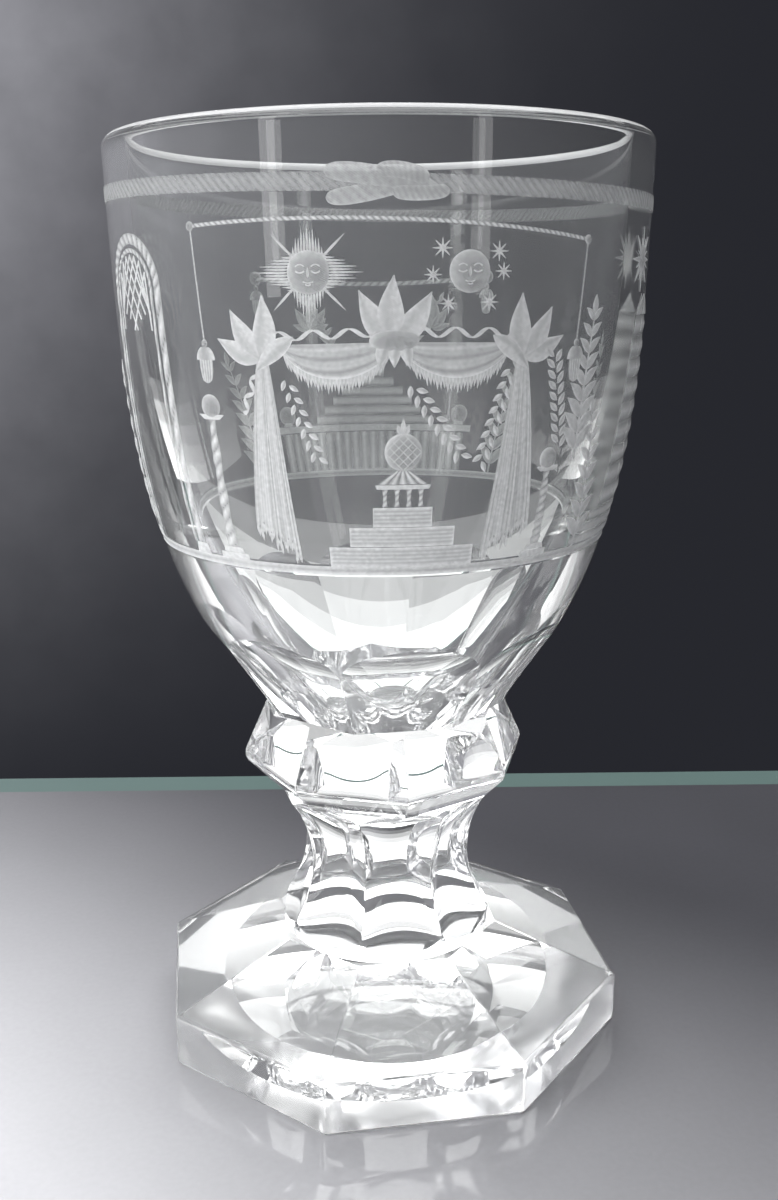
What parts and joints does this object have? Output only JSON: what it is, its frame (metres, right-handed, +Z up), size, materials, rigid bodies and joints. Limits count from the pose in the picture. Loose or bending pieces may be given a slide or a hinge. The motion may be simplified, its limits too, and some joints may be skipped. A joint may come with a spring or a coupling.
{
  "type": "firing glass",
  "caption": "Heavy cut-glass firing goblet: a round engraved bowl on a faceted knop, a waisted panelled stem and a thick faceted foot.",
  "frame": {"origin": "middle of the foot's resting face, on the glass's own axis", "axes": "+Z up the axis from foot to rim; -Y is the front, square to one flat of the foot"},
  "size_m": [0.0852, 0.0852, 0.15],
  "materials": {
    "clear_glass": "polished, cut facets",
    "engraved_glass": "wheel-engraved, matt"
  },
  "bodies": {
    "root": {"foot": "clear_glass", "stem": "clear_glass", "knop": "clear_glass", "bowl": "clear_glass"}
  },
  "joints": []
}
